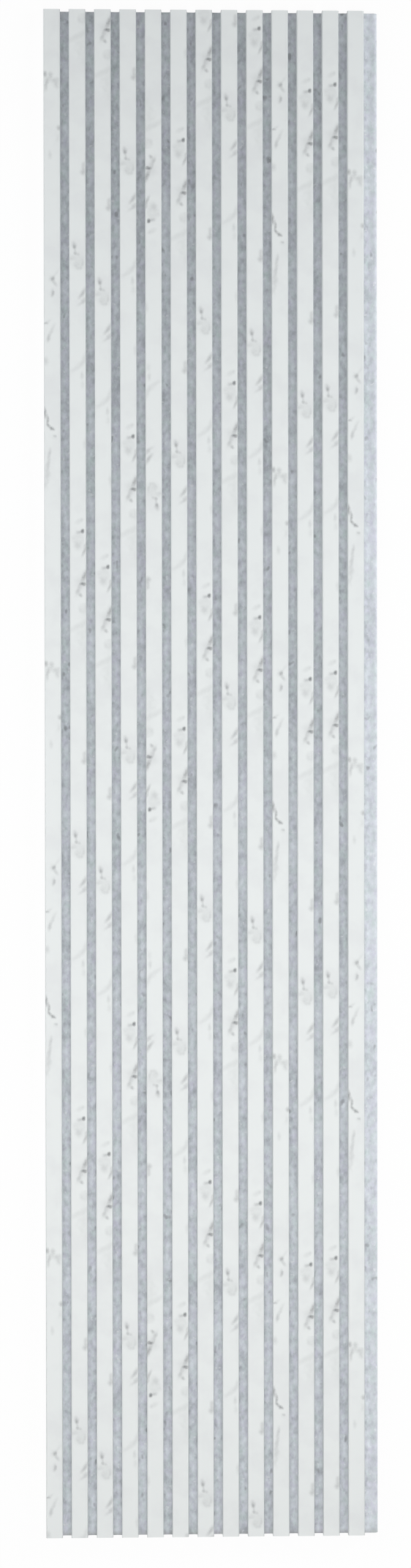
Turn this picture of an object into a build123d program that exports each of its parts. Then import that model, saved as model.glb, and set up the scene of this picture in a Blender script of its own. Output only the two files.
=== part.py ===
"""Slatted acoustic wall panel: printed marble-effect slats on a grey felt board.

The panel lies on its back. X runs across the slats, Y along them and Z out of
the face. The origin is the middle of the felt's back, which goes on the wall.
Every size is in millimetres.
"""

import os

from build123d import *

# Slats: fibreboard strips wrapped in printed foil on the face and both sides
slat_count = 13
slat_width = 26.0
slat_thickness = 12.0
slat_edge_radius = 2.0
slat_gap = 13.7

# Felt board that carries them
felt_thickness = 9.0
joint_margin = 21.6  # bare felt past the last slat, where the next panel butts

panel_length = 2400.0

# Widths that follow from the slats
slat_pitch = slat_width + slat_gap
slatted_width = slat_count * slat_width + (slat_count - 1) * slat_gap
felt_width = slatted_width + joint_margin

# The first slat is flush with the felt's left edge
left_edge = -felt_width / 2
first_slat_centre = left_edge + slat_width / 2


def make_felt_board():
    """The felt board, sawn square on all four edges."""
    with BuildPart() as felt_board:
        with BuildSketch(Plane.XY):
            Rectangle(felt_width, panel_length)
        extrude(amount=felt_thickness)
    felt_board.part.label = "felt_board"
    return felt_board.part


def make_slat(number):
    """One slat, counted from the left, seated on the felt's face."""
    centre = first_slat_centre + (number - 1) * slat_pitch
    with BuildPart() as slat:
        with BuildSketch(Plane.XZ) as section:
            with Locations((centre, felt_thickness)):
                Rectangle(slat_width, slat_thickness, align=(Align.CENTER, Align.MIN))
            front_corners = section.vertices().group_by(Axis.Y)[-1]
            fillet(front_corners, radius=slat_edge_radius)
        extrude(amount=panel_length / 2, both=True)
    slat.part.label = f"slat_{number:02d}"
    return slat.part


pieces = [make_felt_board()]
for slat_number in range(1, slat_count + 1):
    pieces.append(make_slat(slat_number))

os.makedirs("parts", exist_ok=True)
for piece in pieces:
    export_step(piece, f"parts/{piece.label}.step")
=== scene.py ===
"""Slatted acoustic wall panel: slats in white marble-print foil on a heathered felt board.

The panel lies on its back on the floor and the camera looks down on it. X runs
across the slats, Y along them and Z out of the face, in metres.
"""

from __future__ import annotations

import logging
import math
from dataclasses import dataclass, field
from enum import Enum
from typing import Any, Dict, List, Mapping, Optional, Sequence, Tuple, Union

import bpy
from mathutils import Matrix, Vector, noise


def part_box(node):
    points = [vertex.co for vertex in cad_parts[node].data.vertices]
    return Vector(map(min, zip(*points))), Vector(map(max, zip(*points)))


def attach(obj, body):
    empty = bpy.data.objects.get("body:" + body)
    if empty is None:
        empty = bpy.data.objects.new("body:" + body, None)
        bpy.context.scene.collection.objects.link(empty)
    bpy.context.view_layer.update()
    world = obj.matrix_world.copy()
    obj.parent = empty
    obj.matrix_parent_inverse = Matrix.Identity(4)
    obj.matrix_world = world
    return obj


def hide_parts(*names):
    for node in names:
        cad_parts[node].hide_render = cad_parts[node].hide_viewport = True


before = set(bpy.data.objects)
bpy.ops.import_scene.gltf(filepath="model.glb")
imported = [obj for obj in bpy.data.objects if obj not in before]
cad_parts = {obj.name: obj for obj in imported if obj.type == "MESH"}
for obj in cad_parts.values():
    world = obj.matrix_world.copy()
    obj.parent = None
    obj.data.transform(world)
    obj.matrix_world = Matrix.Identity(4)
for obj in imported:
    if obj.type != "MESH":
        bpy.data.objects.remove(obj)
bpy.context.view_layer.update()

log = logging.getLogger("acoustic_panel")

MM = 0.001
BODY = "root"
SLAT_COUNT = 13

Colour = Tuple[float, float, float, float]
Triple = Tuple[float, float, float]
Pair = Tuple[float, float]

WHITE: Colour = (1.0, 1.0, 1.0, 1.0)
COOL: Triple = (0.951, 0.976, 1.0)


def srgb(red: int, green: int, blue: int) -> Colour:
    """Turn a colour as a screen shows it into the linear one that shaders use.

    Args:
        red: Red level, 0 to 255.
        green: Green level, 0 to 255.
        blue: Blue level, 0 to 255.

    Returns:
        The linear colour with full alpha.
    """

    def linear(level: int) -> float:
        """Undo the screen's curve for one level."""
        share = level / 255
        return share / 12.92 if share <= 0.04045 else ((share + 0.055) / 1.055) ** 2.4

    return (linear(red), linear(green), linear(blue), 1.0)


class Value:
    """A shader socket that takes part in Python expressions."""

    def __init__(self, graph: Graph, socket: bpy.types.NodeSocket) -> None:
        """Wrap an output socket of a graph's node."""
        self.graph = graph
        self.socket = socket

    def _math(self, operation: str, *terms: Term) -> Value:
        """Add the Math node for one operation on these terms."""
        made = self.graph.node(
            "ShaderNodeMath", {"operation": operation}, dict(enumerate(terms))
        )
        return Value(self.graph, made.outputs[0])

    def __add__(self, other: Term) -> Value:
        """Self plus other."""
        return self._math("ADD", self, other)

    def __radd__(self, other: Term) -> Value:
        """Other plus self."""
        return self._math("ADD", other, self)

    def __sub__(self, other: Term) -> Value:
        """Self minus other."""
        return self._math("SUBTRACT", self, other)

    def __rsub__(self, other: Term) -> Value:
        """Other minus self."""
        return self._math("SUBTRACT", other, self)

    def __mul__(self, other: Term) -> Value:
        """Self times other."""
        return self._math("MULTIPLY", self, other)

    def __rmul__(self, other: Term) -> Value:
        """Other times self."""
        return self._math("MULTIPLY", other, self)

    def __truediv__(self, other: Term) -> Value:
        """Self over other."""
        return self._math("DIVIDE", self, other)

    def __mod__(self, other: Term) -> Value:
        """What is left of self after whole turns of other, never negative."""
        return self._math("FLOORED_MODULO", self, other)

    def __abs__(self) -> Value:
        """Self without its sign."""
        return self._math("ABSOLUTE", self)

    def __gt__(self, other: Term) -> Value:
        """One where self is greater than other, else nought."""
        return self._math("GREATER_THAN", self, other)

    def sign(self) -> Value:
        """Minus one, nought or one."""
        return self._math("SIGN", self)

    def sine(self) -> Value:
        """Sine of self in radians."""
        return self._math("SINE", self)

    def cosine(self) -> Value:
        """Cosine of self in radians."""
        return self._math("COSINE", self)

    def least(self, other: Term) -> Value:
        """The smaller of self and other."""
        return self._math("MINIMUM", self, other)

    def most(self, other: Term) -> Value:
        """The larger of self and other."""
        return self._math("MAXIMUM", self, other)

    def step(self, start: float, end: float, height: float = 1.0) -> Value:
        """Rise smoothly from nought to a height.

        Args:
            start: Where the rise begins; it may be above the end.
            end: Where the full height is reached.
            height: The value there.

        Returns:
            The smooth step.
        """
        made = self.graph.node(
            "ShaderNodeMapRange",
            {"interpolation_type": "SMOOTHSTEP"},
            {"Value": self, "From Min": start, "From Max": end, "To Max": height},
        )
        return Value(self.graph, made.outputs[0])


Term = Union[Value, float, int]
Link = Union[Value, bpy.types.NodeSocket, float, int, Sequence[float]]


class Graph:
    """The node tree of a material or of the world."""

    def __init__(self, tree: bpy.types.NodeTree) -> None:
        """Start from an empty tree."""
        self.tree = tree
        tree.nodes.clear()

    def node(
        self,
        kind: str,
        settings: Optional[Mapping[str, Any]] = None,
        sockets: Optional[Mapping[Union[str, int], Link]] = None,
    ) -> bpy.types.Node:
        """Add one node.

        Args:
            kind: Blender's name for the node type.
            settings: The node's own settings, which are set first.
            sockets: A value or a link for each input, by name or number.

        Returns:
            The new node.
        """
        made = self.tree.nodes.new(kind)
        for name, setting in (settings or {}).items():
            setattr(made, name, setting)
        for name, link in (sockets or {}).items():
            if isinstance(link, Value):
                self.tree.links.new(link.socket, made.inputs[name])
            elif isinstance(link, bpy.types.NodeSocket):
                self.tree.links.new(link, made.inputs[name])
            else:
                made.inputs[name].default_value = link
        return made

    def place(self) -> bpy.types.NodeSocket:
        """The point on the surface, in the row's frame."""
        return self.node("ShaderNodeTexCoord").outputs["Object"]

    def split(self, vector: bpy.types.NodeSocket) -> Tuple[Value, Value, Value]:
        """The three parts of a vector."""
        made = self.node("ShaderNodeSeparateXYZ", sockets={0: vector})
        return tuple(Value(self, out) for out in made.outputs)

    def join(self, x: Term, y: Term, z: Term) -> bpy.types.NodeSocket:
        """A vector from its three parts."""
        return self.node("ShaderNodeCombineXYZ", sockets={0: x, 1: y, 2: z}).outputs[0]

    def vector(self, operation: str, *terms: Link, **named: Link) -> bpy.types.NodeSocket:
        """One step of vector arithmetic.

        Args:
            operation: The Vector Math node's operation.
            terms: Its vectors in order.
            named: Sockets by name, such as Scale.

        Returns:
            The socket that holds the result.
        """
        sockets = {**dict(enumerate(terms)), **named}
        made = self.node("ShaderNodeVectorMath", {"operation": operation}, sockets)
        return made.outputs["Value" if operation == "LENGTH" else "Vector"]

    def length(self, vector: bpy.types.NodeSocket) -> Value:
        """How long a vector is."""
        return Value(self, self.vector("LENGTH", vector))

    def cloud(
        self,
        at: bpy.types.NodeSocket,
        scale: float,
        detail: float = 2.0,
        roughness: float = 0.5,
    ) -> Value:
        """Smooth noise from nought to one.

        Args:
            at: Where it is read.
            scale: Lumps to a unit of length.
            detail: Octaves of finer noise.
            roughness: How strong the finer octaves are.

        Returns:
            The noise.
        """
        sockets = {"Vector": at, "Scale": scale, "Detail": detail, "Roughness": roughness}
        return Value(self, self.node("ShaderNodeTexNoise", sockets=sockets).outputs[0])

    def mix(self, share: Term, first: Link, second: Link) -> bpy.types.NodeSocket:
        """A colour between two.

        Args:
            share: Nought for the first, one for the second.
            first: Colour at nought.
            second: Colour at one.

        Returns:
            The socket that holds the mixed colour.
        """
        # The node numbers its colour sockets 6 and 7, and its colour output 2
        made = self.node(
            "ShaderNodeMix", {"data_type": "RGBA"}, {0: share, 6: first, 7: second}
        )
        return made.outputs[2]

    def bump(self, height: Value, distance: float, strength: float) -> bpy.types.NodeSocket:
        """A normal that follows a height.

        Args:
            height: Height from nought to one.
            distance: Its full height in metres.
            strength: How much of it shows.

        Returns:
            The socket that holds the normal.
        """
        sockets = {"Height": height, "Distance": distance, "Strength": strength}
        return self.node("ShaderNodeBump", sockets=sockets).outputs[0]

    def surface(self, shader: bpy.types.NodeSocket, output: str) -> None:
        """Send a shader to the tree's output node of this kind."""
        self.node(output, sockets={"Surface": shader})


def new_material(name: str) -> Tuple[bpy.types.Material, Graph]:
    """Make an empty material.

    Args:
        name: The material's name.

    Returns:
        The material and its graph.
    """
    material = bpy.data.materials.new(name)
    material.use_nodes = True
    return material, Graph(material.node_tree)


def new_piece(
    name: str, points: Sequence[Triple], faces: Sequence[Sequence[int]]
) -> bpy.types.Object:
    """Make an object from points and faces and put it in the scene.

    Args:
        name: The piece's name.
        points: Its vertices in metres.
        faces: Its faces, as numbers of the points.

    Returns:
        The object.
    """
    mesh = bpy.data.meshes.new(name)
    mesh.from_pydata(points, [], faces)
    mesh.validate()
    mesh.update()
    made = bpy.data.objects.new(name, mesh)
    bpy.context.scene.collection.objects.link(made)
    return made


class Ink(Enum):
    """How a mark of the print was laid down."""

    SPOT = "spot"
    CLOUD = "cloud"


@dataclass(frozen=True)
class Smudge:
    """One soft grey mark of the marble print: an oval, before the stone's grain ruffles it.

    The oval's middle is given across the slat from its centre line, positive to
    the right, and along the print from where the repeat starts, positive down.
    Lean turns the oval's long axis clockwise from upright, in degrees. Depth is the
    share of ink, which is full inside the core, a share of the oval. Lengths are in
    millimetres. A cloud has a more torn outline than a spot.
    """

    across: float
    along: float
    half_width: float
    half_length: float
    depth: float
    lean: float = 0.0
    core: float = 0.0
    ink: Ink = Ink.SPOT


class Lane(Enum):
    """The two strips of the printed roll that these slats are wrapped in."""

    CLUSTERS = "clusters"
    CRACK = "crack"


LANE_SMUDGES: Dict[Lane, Tuple[Smudge, ...]] = {
    Lane.CLUSTERS: (
        # Faint slanting vein with a haze over and under it
        Smudge(8, 8, 7, 10, 0.12, 0, 0, Ink.CLOUD),
        Smudge(-1, 36.5, 5, 18, 0.10, 60),
        Smudge(9, 52, 9, 34, 0.075, 0, 0, Ink.CLOUD),
        # Twin spots at the right edge
        Smudge(9.5, 247, 5, 6.5, 0.28),
        Smudge(10.5, 237, 4, 6, 0.19),
        # Speck with a ring-shaped cloud under it
        Smudge(-4, 365, 3, 5.2, 0.28, -15),
        Smudge(-5, 362, 4.4, 6.5, 0.20, -20),
        Smudge(-3, 374, 2.6, 4, 0.28),
        Smudge(1, 376, 3, 3, 0.13),
        Smudge(-7, 381, 4, 7, 0.06, -40, 0, Ink.CLOUD),
        Smudge(1, 387, 11, 14, 0.11, 0, 0.2, Ink.CLOUD),
        Smudge(-2.5, 395, 2.4, 6, 0.08, -40),
        Smudge(3, 398.5, 5, 2.6, 0.08, -5),
        Smudge(7.5, 392, 2.6, 7, 0.125, 15),
        # Pair of crescents at the right edge
        Smudge(8.5, 437, 4, 5.6, 0.28, 30),
        Smudge(11, 432, 4, 5, 0.15, 35),
        Smudge(5, 442, 3, 6, 0.17, 45),
        Smudge(9.5, 449, 4.2, 6, 0.20, 35),
        Smudge(5, 454, 3, 7, 0.11, 55),
        # Faint diagonal vein
        Smudge(11, 538, 4.5, 13, 0.10, 25),
        Smudge(4, 549, 4.5, 13, 0.08, 48),
        Smudge(-6, 557, 4, 9, 0.05, 65),
        # Soft spots below it
        Smudge(7, 566, 3.4, 7, 0.15),
        Smudge(8, 580, 4, 7, 0.085),
        Smudge(11.5, 674, 4, 10, 0.11),
        # Leaning oval over a dark speck
        Smudge(2, 794, 3.6, 8.5, 0.10, 62),
        Smudge(6, 791.5, 3, 3.5, 0.06),
        Smudge(7.5, 809.5, 3.1, 3.8, 0.64, 0, 0.1),
        Smudge(2.5, 811, 3.2, 6, 0.24, 80),
        # Round cloud under the speck
        Smudge(1.5, 826, 9.5, 14, 0.13, 0, 0.3, Ink.CLOUD),
        Smudge(-1, 834, 4.5, 7, 0.06, -20),
        Smudge(9.8, 842, 3, 8.5, 0.31, 25),
        Smudge(12, 833, 3, 7, 0.18, 20),
        # Heavy cluster with a tail to the lower left
        Smudge(10, 880, 4.2, 5.2, 0.39, 25),
        Smudge(12, 874, 3.4, 5, 0.22, 30),
        Smudge(8.3, 886, 3.4, 5, 0.18, 15),
        Smudge(8.6, 892.4, 5.4, 3.2, 0.54, 0, 0.1),
        Smudge(1.6, 899, 3.6, 11.5, 0.17, 22),
        Smudge(0.5, 905, 4.5, 4, 0.11),
        Smudge(4, 910, 3.4, 3.4, 0.32),
        Smudge(6, 890, 11, 22, 0.08, 20, 0, Ink.CLOUD),
    ),
    Lane.CRACK: (
        # Spots over a hanging cloud at the left edge
        Smudge(-11, 95, 3.8, 5.5, 0.38),
        Smudge(-2, 96, 4.4, 5.2, 0.23),
        Smudge(-8.5, 111, 3.4, 11, 0.25, 5),
        Smudge(0, 103, 10, 5, 0.13, 0, 0, Ink.CLOUD),
        Smudge(6.5, 108, 5, 9, 0.16, 0, 0, Ink.CLOUD),
        # Speck at the right edge
        Smudge(11.5, 179, 4.3, 4.3, 0.32, 40),
        Smudge(10, 195, 5, 9, 0.07, 0, 0, Ink.CLOUD),
        Smudge(-3, 221, 3.4, 7, 0.125),
        # Two soft spots, one over the other
        Smudge(0.4, 414.5, 3.4, 4, 0.31),
        Smudge(0, 415, 5.5, 6, 0.14),
        Smudge(4, 421, 3, 6.5, 0.19, -40),
        Smudge(5.5, 407, 3, 8, 0.07, 35),
        Smudge(0.7, 437, 2.3, 6.2, 0.26, 4),
        Smudge(0.5, 437, 4, 7.5, 0.08),
        # Short dash, then a leaning smudge with a tail up to the right
        Smudge(-9.5, 484.5, 4.2, 2.4, 0.30, -3),
        Smudge(-6, 481.5, 2.5, 5, 0.10, 60),
        Smudge(-5.6, 508, 3.5, 6.8, 0.26, 8),
        Smudge(-1.5, 498, 3, 9, 0.15, 30),
        Smudge(2, 489, 3, 7, 0.07, 30),
        Smudge(-10, 543, 5, 7, 0.16),
        # Crack that runs down and hooks to the right
        Smudge(-11.3, 624, 2.9, 9, 0.50),
        Smudge(-7.4, 636, 2.5, 10.5, 0.41),
        Smudge(-5.2, 645.5, 2.6, 6, 0.32, -50),
        Smudge(-0.8, 649.3, 4.8, 3.1, 0.43, 10),
        Smudge(2, 651, 2.6, 2.2, 0.20),
        Smudge(4.2, 660.8, 2.4, 2.4, 0.17),
        Smudge(3.5, 662, 4, 4, 0.08),
        # Long faint smear down the left
        Smudge(-4.6, 688, 3, 9.5, 0.20, 8),
        Smudge(-6.5, 703, 3.6, 10, 0.15, 10),
        Smudge(-8, 722, 5, 22, 0.15, 5, 0, Ink.CLOUD),
    ),
}


@dataclass(frozen=True)
class Cut:
    """Where on the printed roll a slat's foil was cut.

    Start is the print's place at the slat's head end in millimetres, or at its foot
    end where the slat was laid end for end.
    """

    lane: Lane
    start: float
    turned: bool = False


@dataclass(frozen=True)
class MarbleFoil:
    """Satin foil printed with white marble, over fibreboard that shows at the sawn ends.

    The print is read as it comes off its roller, so that it repeats without a seam.
    Over the rounded edges and down the sides the print is painted greyer, as painted shade.
    """

    white: Colour = srgb(236, 239, 238)
    cloud: Colour = srgb(221, 222, 224)
    ink: Colour = srgb(66, 68, 74)
    # Painted shade: the grey the print is drawn with over the slat's rounded edges and down its
    # sides
    painted_edge_shade: Colour = srgb(221, 224, 224)
    board: Colour = srgb(190, 156, 116)
    board_fleck: Colour = srgb(146, 112, 78)
    repeat: float = 922.5
    fade: float = 1.45
    spot_ruffles: Tuple[Pair, ...] = ((0.12, 2.0), (0.45, 0.9))
    cloud_ruffles: Tuple[Pair, ...] = ((0.05, 8.0), (0.16, 2.5))
    grain_scale: float = 0.4
    grain_range: Pair = (0.6, 0.8)
    tear_scale: float = 0.1
    tear_range: Pair = (0.1, 1.8)
    haze_scale: float = 0.018
    haze_span: Pair = (0.42, 0.72)
    haze_share: float = 0.3
    ink_limit: float = 0.85
    lane_spacing: float = 200.0
    # How far below the face the painted edge shade reaches its full grey
    edge_shade_reach: float = 0.5 * MM
    foil_thickness: float = 0.3 * MM
    end_depth: float = 0.2 * MM
    board_grain: float = 900.0
    board_span: Pair = (0.4, 0.75)
    skin_grain: float = 1400.0
    skin_height: float = 0.03 * MM
    skin_strength: float = 0.25
    roughness: float = 0.46
    ink_roughness: float = 0.08
    skin_roughness: float = 0.06
    board_roughness: float = 0.9
    ior: float = 1.46

    def material(self, name: str, cut: Cut, low: Vector, high: Vector) -> bpy.types.Material:
        """Make the finish of one slat.

        Args:
            name: The material's name.
            cut: Where the slat's foil came from on the roll.
            low: The slat's lowest corner.
            high: Its highest corner.

        Returns:
            The material.
        """
        centre, half_width = (low.x + high.x) / 2, (high.x - low.x) / 2
        top, end = high.z, high.y
        material, graph = new_material(name)
        x, y, z = graph.split(graph.place())
        side = x - centre
        fold = top - z
        across = (side + side.sign() * fold) / MM
        run = (end - y) / MM
        if cut.turned:
            across = across * -1.0
            run = (y + end) / MM
        row = (run + cut.start) % self.repeat

        # Round the roller, so that the noise meets itself after a turn
        radius = self.repeat / (2 * math.pi)
        angle = row / radius
        lane_side = self.lane_spacing if cut.lane is Lane.CRACK else 0.0
        roller = graph.join(
            angle.cosine() * radius, angle.sine() * radius, across + lane_side
        )
        darkness = self._darkness(graph, roller, across, row, cut.lane)
        haze = graph.cloud(roller, self.haze_scale, detail=3.0, roughness=0.6)
        haze = haze.step(*self.haze_span, self.haze_share)
        print_colour = graph.mix(haze, self.white, self.cloud)
        # Painted shade: the print is drawn greyer over the rounded edges and down the sides of the
        # slat
        print_colour = graph.mix(fold.step(0.0, self.edge_shade_reach), print_colour, self.painted_edge_shade)
        print_colour = graph.mix(darkness, print_colour, self.ink)

        # Sawn ends: fibreboard inside a line of foil
        at_end = abs(y) > (end - self.end_depth)
        inside = (half_width - abs(side)).least(fold) > self.foil_thickness
        bare = at_end * inside
        fleck = graph.cloud(graph.place(), self.board_grain, detail=4.0, roughness=0.7)
        board = graph.mix(fleck.step(*self.board_span), self.board, self.board_fleck)
        colour = graph.mix(bare, print_colour, board)

        skin = graph.cloud(graph.place(), self.skin_grain)
        rough = self.roughness + darkness * self.ink_roughness
        rough = rough + (skin - 0.5) * self.skin_roughness
        rough = rough + bare * (self.board_roughness - self.roughness)
        normal = graph.bump(skin, self.skin_height, self.skin_strength)
        shader = graph.node(
            "ShaderNodeBsdfPrincipled",
            sockets={"Base Color": colour, "Roughness": rough, "Normal": normal, "IOR": self.ior},
        )
        graph.surface(shader.outputs[0], "ShaderNodeOutputMaterial")
        return material

    def _darkness(
        self, graph: Graph, roller: bpy.types.NodeSocket, across: Value, row: Value, lane: Lane
    ) -> Value:
        """How much ink there is at a point of the print.

        Args:
            graph: The material's graph.
            roller: The point on the print roller.
            across: Its place across the slat in mm.
            row: Its place along the repeat in mm.
            lane: The lane whose marks are drawn.

        Returns:
            The share of ink, nought to one.
        """
        flat = graph.join(across, row, 0.0)
        spots: Term = 0.0
        clouds: Term = 0.0
        spot_place = self._ruffled(graph, flat, roller, self.spot_ruffles)
        cloud_place = self._ruffled(graph, flat, roller, self.cloud_ruffles)
        for mark in LANE_SMUDGES[lane]:
            is_cloud = mark.ink is Ink.CLOUD
            local = graph.node(
                "ShaderNodeMapping",
                {"vector_type": "TEXTURE"},
                {
                    "Vector": cloud_place if is_cloud else spot_place,
                    "Location": (mark.across, mark.along, 0.0),
                    "Rotation": (0.0, 0.0, math.radians(mark.lean)),
                    "Scale": (mark.half_width, mark.half_length, 1.0),
                },
            )
            shade = graph.length(local.outputs[0]).step(self.fade, mark.core, mark.depth)
            if is_cloud:
                clouds = shade + clouds
            else:
                spots = shade + spots
        grain = graph.cloud(roller, self.grain_scale, detail=3.0, roughness=0.6)
        tear = graph.cloud(roller, self.tear_scale)
        spots = spots * (self.grain_range[0] + grain * self.grain_range[1])
        clouds = clouds * (self.tear_range[0] + tear * self.tear_range[1])
        return (spots + clouds).least(self.ink_limit)

    def _ruffled(
        self,
        graph: Graph,
        flat: bpy.types.NodeSocket,
        roller: bpy.types.NodeSocket,
        ruffles: Sequence[Pair],
    ) -> bpy.types.NodeSocket:
        """Shift a place on the print a little, as the stone's grain does.

        Args:
            graph: The material's graph.
            flat: The place across and along the print.
            roller: The same place on the print roller.
            ruffles: Lumps to a millimetre, and how far each shifts the print, in mm.

        Returns:
            The socket that holds the shifted place.
        """
        for scale, size in ruffles:
            swirl = graph.node(
                "ShaderNodeTexNoise", sockets={"Vector": roller, "Scale": scale, "Detail": 2.0}
            )
            drift = graph.vector("SUBTRACT", swirl.outputs["Color"], (0.5, 0.5, 0.5))
            flat = graph.vector("ADD", flat, graph.vector("SCALE", drift, Scale=2.0 * size))
        return graph.vector("MULTIPLY", flat, (1.0, 1.0, 0.0))


@dataclass(frozen=True)
class SlatRow:
    """Where the slats stand on the felt, and where its foot end is, in metres."""

    first: float
    last: float
    width: float
    pitch: float
    foot: float

    def distance(self, x: Value) -> Value:
        """How far a place across the felt is from the nearest slat.

        Args:
            x: The place.

        Returns:
            The distance, below nought under a slat.
        """
        past_last = x - self.last
        beside = (x - self.first) % self.pitch - self.width
        ahead = (self.pitch - self.width) - beside
        return beside.most(past_last).least(ahead.most(past_last))


@dataclass(frozen=True)
class HeatherFelt:
    """Needled felt of mixed pale fibres, blue-grey with lilac and green-grey strands.

    It is painted darker along the slats' feet, as painted shade in the corners, and it
    is darker towards its foot end. Its bare margin is rubbed plainer than the grooves.
    """

    base: Colour = srgb(221, 226, 232)
    pale: Colour = srgb(239, 244, 250)
    dark: Colour = srgb(186, 191, 198)
    lilac: Colour = srgb(223, 222, 237)
    sage: Colour = srgb(215, 228, 227)
    # Painted glint: the near-white of the flecks drawn into the felt's colour
    speck: Colour = srgb(145, 148, 154)
    painted_glint: Colour = srgb(248, 250, 253)
    # The dark tone used for the painted shade along the slats and for the darkening towards the
    # foot end
    painted_shade_and_foot_dark: Colour = srgb(129, 121, 112)
    drawn: Triple = (1.0, 0.7, 1.0)
    tint_scale: float = 60.0
    tint_gain: float = 4.0
    patch_scale: float = 22.0
    patch_gain: float = 3.6
    blotch_scale: float = 130.0
    blotch_gain: float = 3.4
    pale_gain: float = 0.9
    dark_gain: float = 0.78
    speck_scale: float = 85.0
    speck_span: Pair = (0.66, 0.82)
    speck_share: float = 0.65
    # Size, spread and strength of the painted glints
    glint_scale: float = 150.0
    glint_span: Pair = (0.66, 0.78)
    glint_share: float = 0.5
    strand_scale: Triple = (2600.0, 260.0, 900.0)
    strand_span: Pair = (0.55, 0.8)
    pale_turns: Pair = (12.0, 133.0)
    pale_share: float = 0.2
    dark_turn: float = 71.0
    dark_share: float = 0.24
    strand_height: float = 0.5
    blotch_height: float = 0.8
    relief: float = 0.4 * MM
    relief_strength: float = 0.55
    # Painted shade in the corners along the slats' feet, on the felt's face only
    painted_shade_reach: float = 6.5 * MM
    painted_shade_width: float = 1.5 * MM
    painted_shade_share: float = 0.11
    painted_shade_min_z: float = 4.0 * MM
    rubbed_from: float = 7.0 * MM
    rubbed_to: float = 11.0 * MM
    rubbed_share: float = 0.3
    # Darker towards the foot end
    foot_dark_reach: float = 10.0 * MM
    foot_dark_share: float = 0.26
    roughness: float = 0.94
    strand_gloss: float = 0.05
    specular: float = 0.2
    sheen: float = 0.15
    sheen_roughness: float = 0.6

    def material(self, name: str, slats: SlatRow) -> bpy.types.Material:
        """Make the finish.

        Args:
            name: The material's name.
            slats: Where the slats stand on the felt.

        Returns:
            The material.
        """
        material, graph = new_material(name)
        place = graph.place()
        x, y, z = graph.split(place)
        from_slat = slats.distance(x)
        drawn = graph.vector("MULTIPLY", place, self.drawn)
        tint = graph.cloud(drawn, self.tint_scale, detail=3.0, roughness=0.7)
        tint = (tint - 0.5) * self.tint_gain
        colour = graph.mix(tint, self.base, self.lilac)
        colour = graph.mix(tint * -1.0, colour, self.sage)
        patch = graph.cloud(drawn, self.patch_scale, detail=4.0, roughness=0.8)
        blotch = graph.cloud(drawn, self.blotch_scale)
        shade = (patch - 0.5) * self.patch_gain + (blotch - 0.5) * self.blotch_gain
        rubbed = from_slat.step(self.rubbed_from, self.rubbed_to, self.rubbed_share)
        shade = shade * (1.0 - rubbed)
        colour = graph.mix(shade * self.pale_gain, colour, self.pale)
        colour = graph.mix(shade * -self.dark_gain, colour, self.dark)

        # Strands laid every way, pale ones and dark ones
        first, second = (self._strands(graph, place, turn) for turn in self.pale_turns)
        pale_strands = first + second
        dark_strands = self._strands(graph, place, self.dark_turn)
        strands = pale_strands + dark_strands
        colour = graph.mix(pale_strands * self.pale_share, colour, self.pale)
        colour = graph.mix(dark_strands * self.dark_share, colour, self.dark)

        # Dark specks, painted glints, painted shade along the slats' feet, and darker towards the
        # foot end
        speck = graph.cloud(drawn, self.speck_scale, detail=1.0).step(*self.speck_span)
        colour = graph.mix(speck * self.speck_share, colour, self.speck)
        # Painted glints: small near-white flecks
        painted_glint = graph.cloud(place, self.glint_scale, detail=1.0).step(*self.glint_span)
        colour = graph.mix(painted_glint * self.glint_share, colour, self.painted_glint)
        # Painted shade: darker next to the slats, where their walls shade the felt
        painted_corner_shade = from_slat.step(self.painted_shade_reach, self.painted_shade_width, self.painted_shade_share)
        painted_corner_shade = painted_corner_shade * (z > self.painted_shade_min_z)
        # Darker over the last few millimetres towards the foot end
        foot_dark = (y - slats.foot).step(self.foot_dark_reach, 0.0, self.foot_dark_share)
        colour = graph.mix(painted_corner_shade + foot_dark, colour, self.painted_shade_and_foot_dark)

        height = strands * self.strand_height + blotch * self.blotch_height
        normal = graph.bump(height, self.relief, self.relief_strength)
        rough = self.roughness - strands * self.strand_gloss
        shader = graph.node(
            "ShaderNodeBsdfPrincipled",
            sockets={
                "Base Color": colour,
                "Roughness": rough,
                "Normal": normal,
                "Specular IOR Level": self.specular,
                "Sheen Weight": self.sheen,
                "Sheen Roughness": self.sheen_roughness,
            },
        )
        graph.surface(shader.outputs[0], "ShaderNodeOutputMaterial")
        return material

    def _strands(self, graph: Graph, place: bpy.types.NodeSocket, turn: float) -> Value:
        """Fine strands that lie one way.

        Args:
            graph: The material's graph.
            place: The point on the felt.
            turn: The way they lie, in degrees.

        Returns:
            One on a strand and nought between strands.
        """
        laid = graph.node(
            "ShaderNodeMapping",
            {"vector_type": "POINT"},
            {
                "Vector": place,
                "Rotation": (0.0, 0.0, math.radians(turn)),
                "Scale": self.strand_scale,
            },
        )
        return graph.cloud(laid.outputs[0], 1.0, detail=1.0).step(*self.strand_span)


@dataclass(frozen=True)
class StapleWire:
    """Galvanised wire, dulled by its zinc."""

    bright: Colour = srgb(178, 180, 182)
    dull: Colour = srgb(142, 145, 149)
    spangle_scale: float = 1500.0
    spangle_span: Pair = (0.3, 0.7)
    roughness: float = 0.32
    spangle_roughness: float = 0.25

    def material(self, name: str) -> bpy.types.Material:
        """Make the finish.

        Args:
            name: The material's name.

        Returns:
            The material.
        """
        material, graph = new_material(name)
        spangle = graph.cloud(graph.place(), self.spangle_scale, detail=3.0, roughness=0.6)
        colour = graph.mix(spangle.step(*self.spangle_span), self.dull, self.bright)
        rough = self.roughness + spangle * self.spangle_roughness
        shader = graph.node(
            "ShaderNodeBsdfPrincipled",
            sockets={"Base Color": colour, "Roughness": rough, "Metallic": 1.0},
        )
        graph.surface(shader.outputs[0], "ShaderNodeOutputMaterial")
        return material


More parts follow.
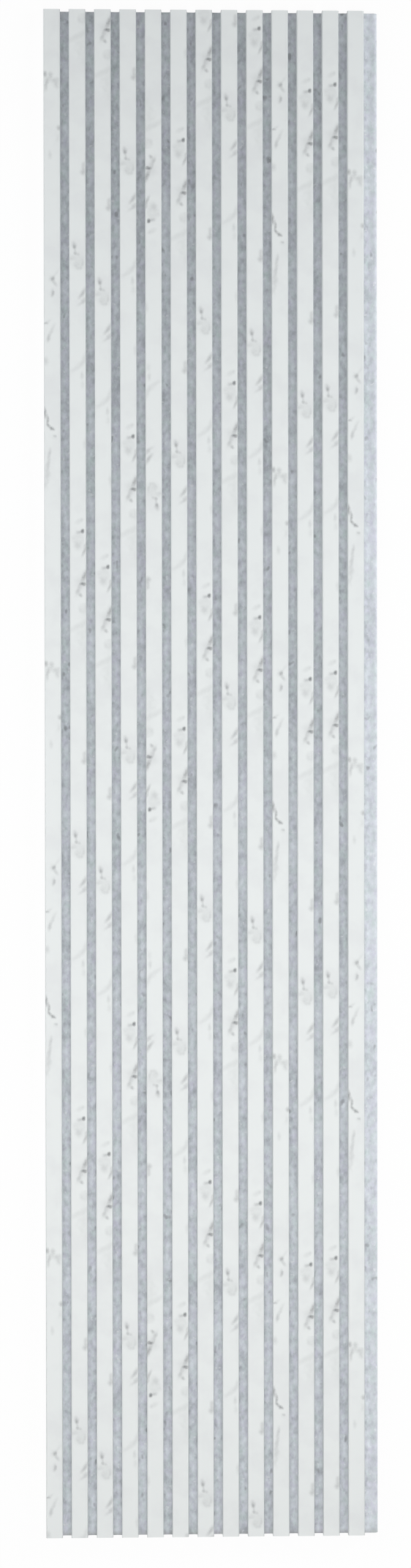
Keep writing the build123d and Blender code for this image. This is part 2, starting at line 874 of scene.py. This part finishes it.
@dataclass
class Slats:
    """Thirteen slats, each wrapped in its own length of the printed roll."""

    finish: MarbleFoil = field(default_factory=MarbleFoil)
    cuts: Tuple[Cut, ...] = (
        Cut(Lane.CRACK, 916),
        Cut(Lane.CLUSTERS, 916),
        Cut(Lane.CLUSTERS, 860),
        Cut(Lane.CLUSTERS, 142),
        Cut(Lane.CLUSTERS, 585, turned=True),
        Cut(Lane.CLUSTERS, 606),
        Cut(Lane.CLUSTERS, 815),
        Cut(Lane.CLUSTERS, 226),
        Cut(Lane.CLUSTERS, 781),
        Cut(Lane.CRACK, 298),
        Cut(Lane.CLUSTERS, 684),
        Cut(Lane.CLUSTERS, 694),
        Cut(Lane.CRACK, 765),
    )

    def dress(self) -> None:
        """Give every slat its foil."""
        for number, cut in enumerate(self.cuts, start=1):
            node = f"slat_{number:02d}"
            low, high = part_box(node)
            foil = self.finish.material(f"marble_foil_{number:02d}", cut, low, high)
            slat = bpy.data.objects[node]
            slat.material_slots[0].link = "OBJECT"
            slat.material_slots[0].material = foil
            log.info("%s: %s lane of the print from %d mm", node, cut.lane.value, cut.start)


@dataclass(frozen=True)
class FeltLine:
    """A line of the felt's mesh along the slats: its place, whether it lies bare, and its drop."""

    place: float
    bare: bool
    drop: float = 0.0


@dataclass
class FeltBoard:
    """The felt board, with the soft relief of needled fibres where it lies bare.

    The joint edge is worn round: its profile gives the drop at distances from the edge.
    """

    finish: HeatherFelt = field(default_factory=HeatherFelt)
    slat_count: int = SLAT_COUNT
    groove_columns: int = 6
    margin_columns: int = 8
    row_height: float = 4.0 * MM
    relief: float = 0.45 * MM
    lump: float = 5.0 * MM
    coarse_share: float = 0.38
    fine_share: float = 0.22
    fine_ratio: float = 2.3
    fine_shift: Triple = (7.0, 3.0, 5.0)
    end_round: float = 0.6 * MM
    end_drop: float = 0.4 * MM
    joint_profile: Tuple[Pair, ...] = (
        (3.8 * MM, 0.0),
        (2.8 * MM, 0.25 * MM),
        (1.8 * MM, 0.75 * MM),
        (1.0 * MM, 1.4 * MM),
        (0.4 * MM, 2.2 * MM),
        (0.0, 3.2 * MM),
    )

    def build(self) -> bpy.types.Object:
        """Make the board and let it stand for the CAD board.

        Returns:
            The felt board's object.
        """
        low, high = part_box("felt_board")
        lines = self._lines(low.x, high.x)
        count = round((high.y - low.y) / self.row_height)
        rows = [low.y + (high.y - low.y) * i / count for i in range(count + 1)]
        rows = [rows[0], rows[0] + self.end_round, *rows[1:-1], rows[-1] - self.end_round, rows[-1]]
        # Face: a row of points at each step along the slats
        points: List[Triple] = []
        for y in rows:
            at_end = y in (rows[0], rows[-1])
            for line in lines:
                drop = line.drop
                if line.bare:
                    drop += self._dip(line.place, y) + (self.end_drop if at_end else 0.0)
                points.append((line.place, y, high.z - drop))
        wide, long = len(lines), len(rows)
        faces: List[Sequence[int]] = []
        for j in range(long - 1):
            for i in range(wide - 1):
                a = j * wide + i
                faces.append((a, a + 1, a + wide + 1, a + wide))
        # Back, long edges and sawn ends
        left = len(points)
        for y in rows:
            points.append((low.x, y, low.z))
            points.append((high.x, y, low.z))
        for j in range(long - 1):
            a, b = left + 2 * j, left + 2 * j + 2
            faces.append((a, b, b + 1, a + 1))
            faces.append((j * wide, (j + 1) * wide, b, a))
            faces.append(((j + 1) * wide - 1, a + 1, b + 1, (j + 2) * wide - 1))
        faces.append((*range(wide - 1, -1, -1), left, left + 1))
        top = (long - 1) * wide
        faces.append((*range(top, top + wide), left + 2 * long - 1, left + 2 * long - 2))
        board = new_piece("needled_felt_board", points, faces)
        board.data.materials.append(self.finish.material("heather_felt", self._slat_row(low.y)))
        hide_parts("felt_board")
        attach(board, BODY)
        log.info("%s: %d faces", board.name, len(faces))
        return board

    def _lines(self, left: float, right: float) -> List[FeltLine]:
        """Where the board's mesh has its lines along the slats.

        Args:
            left: X of the board's left edge.
            right: X of its right edge.

        Returns:
            The lines from left to right.
        """
        lines: List[FeltLine] = []
        for number in range(1, self.slat_count + 1):
            low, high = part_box(f"slat_{number:02d}")
            last = number == self.slat_count
            if last:
                stop = right - self.joint_profile[0][0]
            else:
                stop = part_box(f"slat_{number + 1:02d}")[0].x
            count = self.margin_columns if last else self.groove_columns
            lines.append(FeltLine(left if number == 1 else low.x, False))
            for i in range(count):
                lines.append(FeltLine(high.x + (stop - high.x) * i / count, i > 0))
        for distance, drop in self.joint_profile:
            lines.append(FeltLine(right - distance, True, drop))
        return lines

    def _slat_row(self, foot: float) -> SlatRow:
        """Where the slats stand on the board.

        Args:
            foot: Y of the board's foot end.

        Returns:
            The row of slats.
        """
        low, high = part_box("slat_01")
        second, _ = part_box("slat_02")
        _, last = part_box(f"slat_{self.slat_count:02d}")
        return SlatRow(low.x, last.x, high.x - low.x, second.x - low.x, foot)

    def _dip(self, x: float, y: float) -> float:
        """How far the felt's face lies under its highest fibres.

        Args:
            x: The point across the board.
            y: The point along it.

        Returns:
            The depth in metres.
        """
        at = Vector((x / self.lump, y / self.lump, 0.0))
        coarse = noise.noise(at)
        fine = noise.noise(at * self.fine_ratio + Vector(self.fine_shift))
        share = 0.5 + self.coarse_share * coarse + self.fine_share * fine
        return self.relief * min(max(share, 0.0), 1.0)


@dataclass
class BackStaples:
    """Wire staples driven through the felt's back into each slat."""

    finish: StapleWire = field(default_factory=StapleWire)
    slat_count: int = SLAT_COUNT
    per_slat: int = 9
    end_distance: float = 60.0 * MM
    crown: float = 10.0 * MM
    wire_width: float = 1.2 * MM
    wire_thickness: float = 0.6 * MM
    proud: float = 0.15 * MM
    shoulder: float = 0.5 * MM
    shoulder_steps: int = 4
    leg: float = 2.5 * MM

    def build(self) -> bpy.types.Object:
        """Make every staple's crown, with its shoulders turned into the felt.

        Returns:
            The staples' object.
        """
        points: List[Triple] = []
        faces: List[Sequence[int]] = []
        for number in range(1, self.slat_count + 1):
            low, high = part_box(f"slat_{number:02d}")
            first, last = low.y + self.end_distance, high.y - self.end_distance
            for i in range(self.per_slat):
                y = first + (last - first) * i / (self.per_slat - 1)
                self._staple((low.x + high.x) / 2, y, points, faces)
        staples = new_piece("back_staples", points, faces)
        staples.data.materials.append(self.finish.material("galvanised_wire"))
        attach(staples, BODY)
        log.info("%s: %d crowns", staples.name, self.slat_count * self.per_slat)
        return staples

    def _staple(self, x: float, y: float, points: List[Triple], faces: List[Sequence[int]]) -> None:
        """Add one staple: flat wire along a rounded crown, into the felt at both ends.

        Args:
            x: Middle of the crown across the panel.
            y: Middle of the crown along it.
            points: The mesh's vertices so far.
            faces: The mesh's faces so far.
        """
        # The wire's outer line, from one leg over the crown to the other
        half, turn = self.crown / 2, self.shoulder
        line: List[Pair] = [(-half, self.leg)]
        for i in range(self.shoulder_steps + 1):
            a = math.pi / 2 * i / self.shoulder_steps
            line.append((-half + turn * (1 - math.cos(a)), turn * (1 - math.sin(a))))
        line.extend((-s, h) for s, h in reversed(line))
        # Its flat section at each point of the line
        start = len(points)
        for n, (s, h) in enumerate(line):
            before, after = line[max(n - 1, 0)], line[min(n + 1, len(line) - 1)]
            run = Vector((after[0] - before[0], after[1] - before[1])).normalized()
            inward = (-run.y * self.wire_thickness, run.x * self.wire_thickness)
            z = h - self.proud
            for side in (-1, 1):
                width = side * self.wire_width / 2
                points.append((x + s, y + width, z))
                points.append((x + s + inward[0], y + width, z + inward[1]))
        for n in range(len(line) - 1):
            a, b = start + 4 * n, start + 4 * n + 4
            faces.append((a, a + 2, b + 2, b))
            faces.append((a + 1, b + 1, b + 3, a + 3))
            faces.append((a, b, b + 1, a + 1))
            faces.append((a + 2, a + 3, b + 3, b + 2))
        end = start + 4 * (len(line) - 1)
        faces.append((start, start + 1, start + 3, start + 2))
        faces.append((end, end + 2, end + 3, end + 1))


@dataclass(frozen=True)
class Lamp:
    """A soft rectangular lamp that points at a spot on the floor and leaves no highlight."""

    name: str
    place: Triple
    aim: Triple
    width: float
    length: float
    power: float
    tint: Triple = (1.0, 1.0, 1.0)

    def build(self) -> None:
        """Put the lamp in the scene."""
        data = bpy.data.lights.new(self.name, "AREA")
        data.shape = "RECTANGLE"
        data.size = self.width
        data.size_y = self.length
        data.energy = self.power
        data.color = self.tint
        lamp = bpy.data.objects.new(self.name, data)
        lamp.location = self.place
        aim = Vector(self.aim) - Vector(self.place)
        lamp.rotation_euler = aim.to_track_quat("-Z", "Y").to_euler()
        lamp.visible_camera = False
        lamp.visible_glossy = False
        bpy.context.scene.collection.objects.link(lamp)
        log.info("%s: %.1f W", self.name, self.power)


@dataclass
class Studio:
    """Plain pale floor, white surroundings and soft light."""

    floor_half: float = 40.0
    floor_drop: float = 0.5 * MM
    floor_colour: Colour = srgb(244, 244, 244)
    shadow_share: float = 0.05
    wall_level: float = 0.24
    ceiling_level: float = 0.08
    wall_top: float = 0.2
    ceiling_start: float = 0.9
    lamps: Tuple[Lamp, ...] = (
        Lamp("lamp_over_middle", (0.0, -0.7, 2.4), (0.0, -0.7, 0.0), 1.0, 1.4, 22.9),
        Lamp("lamp_over_foot", (0.0, -1.5, 2.4), (0.0, -1.3, 0.0), 1.0, 1.0, 7.2),
        Lamp("lamp_left_head", (-2.0, 1.0, 1.3), (0.0, 1.0, 0.0), 1.0, 1.0, 22.0, COOL),
        Lamp("lamp_left_foot", (-2.0, -1.0, 1.3), (0.0, -1.0, 0.0), 1.0, 1.0, 7.8),
        Lamp("lamp_right_head", (2.0, 1.0, 1.3), (0.0, 1.0, 0.0), 1.0, 1.0, 27.2, COOL),
        Lamp("lamp_right_foot", (2.0, -1.0, 1.3), (0.0, -1.0, 0.0), 1.0, 1.0, 8.6),
    )

    def build(self) -> None:
        """Make the floor, the world and the lamps."""
        self._floor()
        self._world()
        for lamp in self.lamps:
            lamp.build()
        bpy.context.scene.view_settings.view_transform = "Standard"

    def _seen(self, graph: Graph) -> Value:
        """Tell the rays that show the background from those that light the panel.

        Args:
            graph: The graph of the floor or the world.

        Returns:
            One for the first and nought for the second.
        """
        rays = graph.node("ShaderNodeLightPath").outputs
        seen = Value(graph, rays["Is Camera Ray"]) + Value(graph, rays["Is Glossy Ray"])
        return (seen + Value(graph, rays["Is Transmission Ray"])).least(1.0)

    def _floor(self) -> None:
        """Make the floor, white to the eye but for the panel's soft shadow."""
        h, z = self.floor_half, -self.floor_drop
        corners = [(-h, -h, z), (h, -h, z), (h, h, z), (-h, h, z)]
        floor = new_piece("pale_floor", corners, [(0, 1, 2, 3)])
        material, graph = new_material("pale_floor_paint")
        matt = graph.node("ShaderNodeBsdfDiffuse", sockets={"Color": self.floor_colour})
        white = graph.node("ShaderNodeEmission", sockets={"Color": WHITE, "Strength": 1.0})
        share = self._seen(graph) * (1 - self.shadow_share)
        mixed = graph.node(
            "ShaderNodeMixShader", sockets={0: share, 1: matt.outputs[0], 2: white.outputs[0]}
        )
        graph.surface(mixed.outputs[0], "ShaderNodeOutputMaterial")
        floor.data.materials.append(material)
        log.info("%s: staged", floor.name)

    def _world(self) -> None:
        """Make white surroundings that light the panel more from the walls than from above."""
        world = bpy.data.worlds.new("studio_surroundings")
        bpy.context.scene.world = world
        world.use_nodes = True
        graph = Graph(world.node_tree)
        towards = graph.node("ShaderNodeTexCoord").outputs["Generated"]
        _, _, up = graph.split(towards)
        fall = self.ceiling_level - self.wall_level
        level = self.wall_level + up.step(self.wall_top, self.ceiling_start, fall)
        seen = self._seen(graph)
        level = level + seen * (1.0 - level)
        light = graph.node("ShaderNodeBackground", sockets={"Color": WHITE, "Strength": level})
        graph.surface(light.outputs[0], "ShaderNodeOutputWorld")


@dataclass(frozen=True)
class PanelCamera:
    """The camera above the panel, a little left of its middle and turned to keep it in frame."""

    place: Triple = (-0.0838, 0.0179, 3.4428)
    tilt: float = -0.514
    swing: float = -1.241
    roll: float = -0.08
    lens: float = 50.0
    sensor: float = 36.0

    def build(self) -> None:
        """Put the camera in the scene and make it the one that renders."""
        data = bpy.data.cameras.new("panel_camera")
        data.lens = self.lens
        data.sensor_width = self.sensor
        data.sensor_fit = "AUTO"
        camera = bpy.data.objects.new("panel_camera", data)
        camera.location = self.place
        camera.rotation_euler = [math.radians(a) for a in (self.tilt, self.swing, self.roll)]
        bpy.context.scene.collection.objects.link(camera)
        bpy.context.scene.camera = camera


def main() -> None:
    """Build the panel's pieces, its studio and its camera, and report each."""
    logging.basicConfig(level=logging.INFO, format="%(message)s")
    PanelCamera().build()
    FeltBoard().build()
    Slats().dress()
    BackStaples().build()
    Studio().build()


if __name__ == "__main__":
    main()
